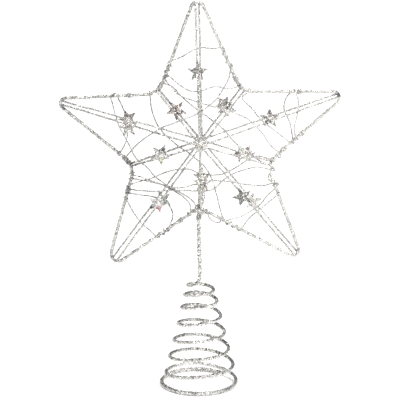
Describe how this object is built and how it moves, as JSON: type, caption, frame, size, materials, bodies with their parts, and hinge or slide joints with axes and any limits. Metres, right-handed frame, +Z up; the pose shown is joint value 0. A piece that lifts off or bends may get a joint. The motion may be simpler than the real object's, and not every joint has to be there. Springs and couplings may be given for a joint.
{
  "type": "standing star decoration",
  "caption": "Open wire star with thin ribs, small stars and hand-wound trim wire in silver glitter, on a cone-shaped coil spring that stands on a table or slips over a tree top.",
  "frame": {"origin": "middle of the base ring, on the surface that the ring stands on", "axes": "+Z up along the spring, +X to the right of someone who looks at the star's front, +Y from the front of the star to its back"},
  "size_m": [0.1974, 0.0593, 0.2794],
  "materials": {
    "spring_wire": "steel wire with a coat of coarse silver glitter",
    "outline_wire": "steel wire with a coat of coarse silver glitter",
    "hub_bead": "solder bead thick with silver glitter",
    "rib_wire": "thin steel wire with a coat of silver glitter",
    "small_star": "moulded plastic with a coat of silver glitter, faintly iridescent",
    "trim_wire": "fine bright wire with a light dusting of glitter",
    "binding_wire": "fine wire, tightly wound, with glitter between its turns"
  },
  "bodies": {
    "base": {"base_ring": "spring_wire", "coil_lower_turns": "spring_wire"},
    "spring_middle": {"coil_middle_turns": "spring_wire"},
    "spring_upper": {"coil_upper_turns": "spring_wire"},
    "spring_neck": {"coil_neck": "spring_wire"},
    "star": {"stem": "spring_wire", "star_outline": "outline_wire", "front_hub": "hub_bead", "back_hub": "hub_bead", "front_rib_top_point": "rib_wire", "front_rib_upper_left_notch": "rib_wire", "front_rib_left_point": "rib_wire", "front_rib_lower_left_notch": "rib_wire", "front_rib_lower_left_point": "rib_wire", "front_rib_bottom_notch": "rib_wire", "front_rib_lower_right_point": "rib_wire", "front_rib_lower_right_notch": "rib_wire", "front_rib_right_point": "rib_wire", "front_rib_upper_right_notch": "rib_wire", "back_rib_top_point": "rib_wire", "back_rib_upper_left_notch": "rib_wire", "back_rib_left_point": "rib_wire", "back_rib_lower_left_notch": "rib_wire", "back_rib_lower_left_point": "rib_wire", "back_rib_bottom_notch": "rib_wire", "back_rib_lower_right_point": "rib_wire", "back_rib_lower_right_notch": "rib_wire", "back_rib_right_point": "rib_wire", "back_rib_upper_right_notch": "rib_wire", "front_star_top_point": "small_star", "front_star_upper_left_notch": "small_star", "front_star_left_point": "small_star", "front_star_lower_left_notch": "small_star", "front_star_lower_left_point": "small_star", "front_star_bottom_notch": "small_star", "front_star_lower_right_point": "small_star", "front_star_lower_right_notch": "small_star", "front_star_right_point": "small_star", "front_star_upper_right_notch": "small_star", "back_star_top_point": "small_star", "back_star_upper_left_notch": "small_star", "back_star_left_point": "small_star", "back_star_lower_left_notch": "small_star", "back_star_lower_left_point": "small_star", "back_star_bottom_notch": "small_star", "back_star_lower_right_point": "small_star", "back_star_lower_right_notch": "small_star", "back_star_right_point": "small_star", "back_star_upper_right_notch": "small_star", "trim_wire_1": "trim_wire", "trim_wire_2": "trim_wire", "trim_wire_3": "trim_wire", "trim_wire_4": "trim_wire", "trim_wire_5": "trim_wire", "trim_wire_6": "trim_wire", "trim_wire_7": "trim_wire", "trim_wire_8": "trim_wire", "trim_wire_9": "trim_wire", "binding_wraps": "binding_wire"}
  },
  "joints": [
    {"name": "press", "type": "slide", "parent": "base", "child": "spring_middle", "axis": [0, 0, 1], "range_m": [-0.018, 0.008], "stiffness_N_per_m": 300, "springref_m": 0.0026, "deforming": ["coil_lower_turns"]},
    {"name": "twist", "type": "hinge", "parent": "spring_middle", "child": "spring_upper", "pos_m": [0, 0, 0.0446], "axis": [0, 0, 1], "range_deg": [-20, 20], "stiffness_Nm_per_rad": 0.2, "deforming": ["coil_middle_turns"]},
    {"name": "sway", "type": "hinge", "parent": "spring_upper", "child": "spring_neck", "pos_m": [0, 0, 0.056], "axis": [0, 1, 0], "range_deg": [-12, 12], "stiffness_Nm_per_rad": 0.6, "deforming": ["coil_upper_turns"]},
    {"name": "nod", "type": "hinge", "parent": "spring_neck", "child": "star", "pos_m": [0, 0, 0.0692], "axis": [1, 0, 0], "range_deg": [-12, 12], "stiffness_Nm_per_rad": 0.6, "deforming": ["coil_neck"]}
  ]
}
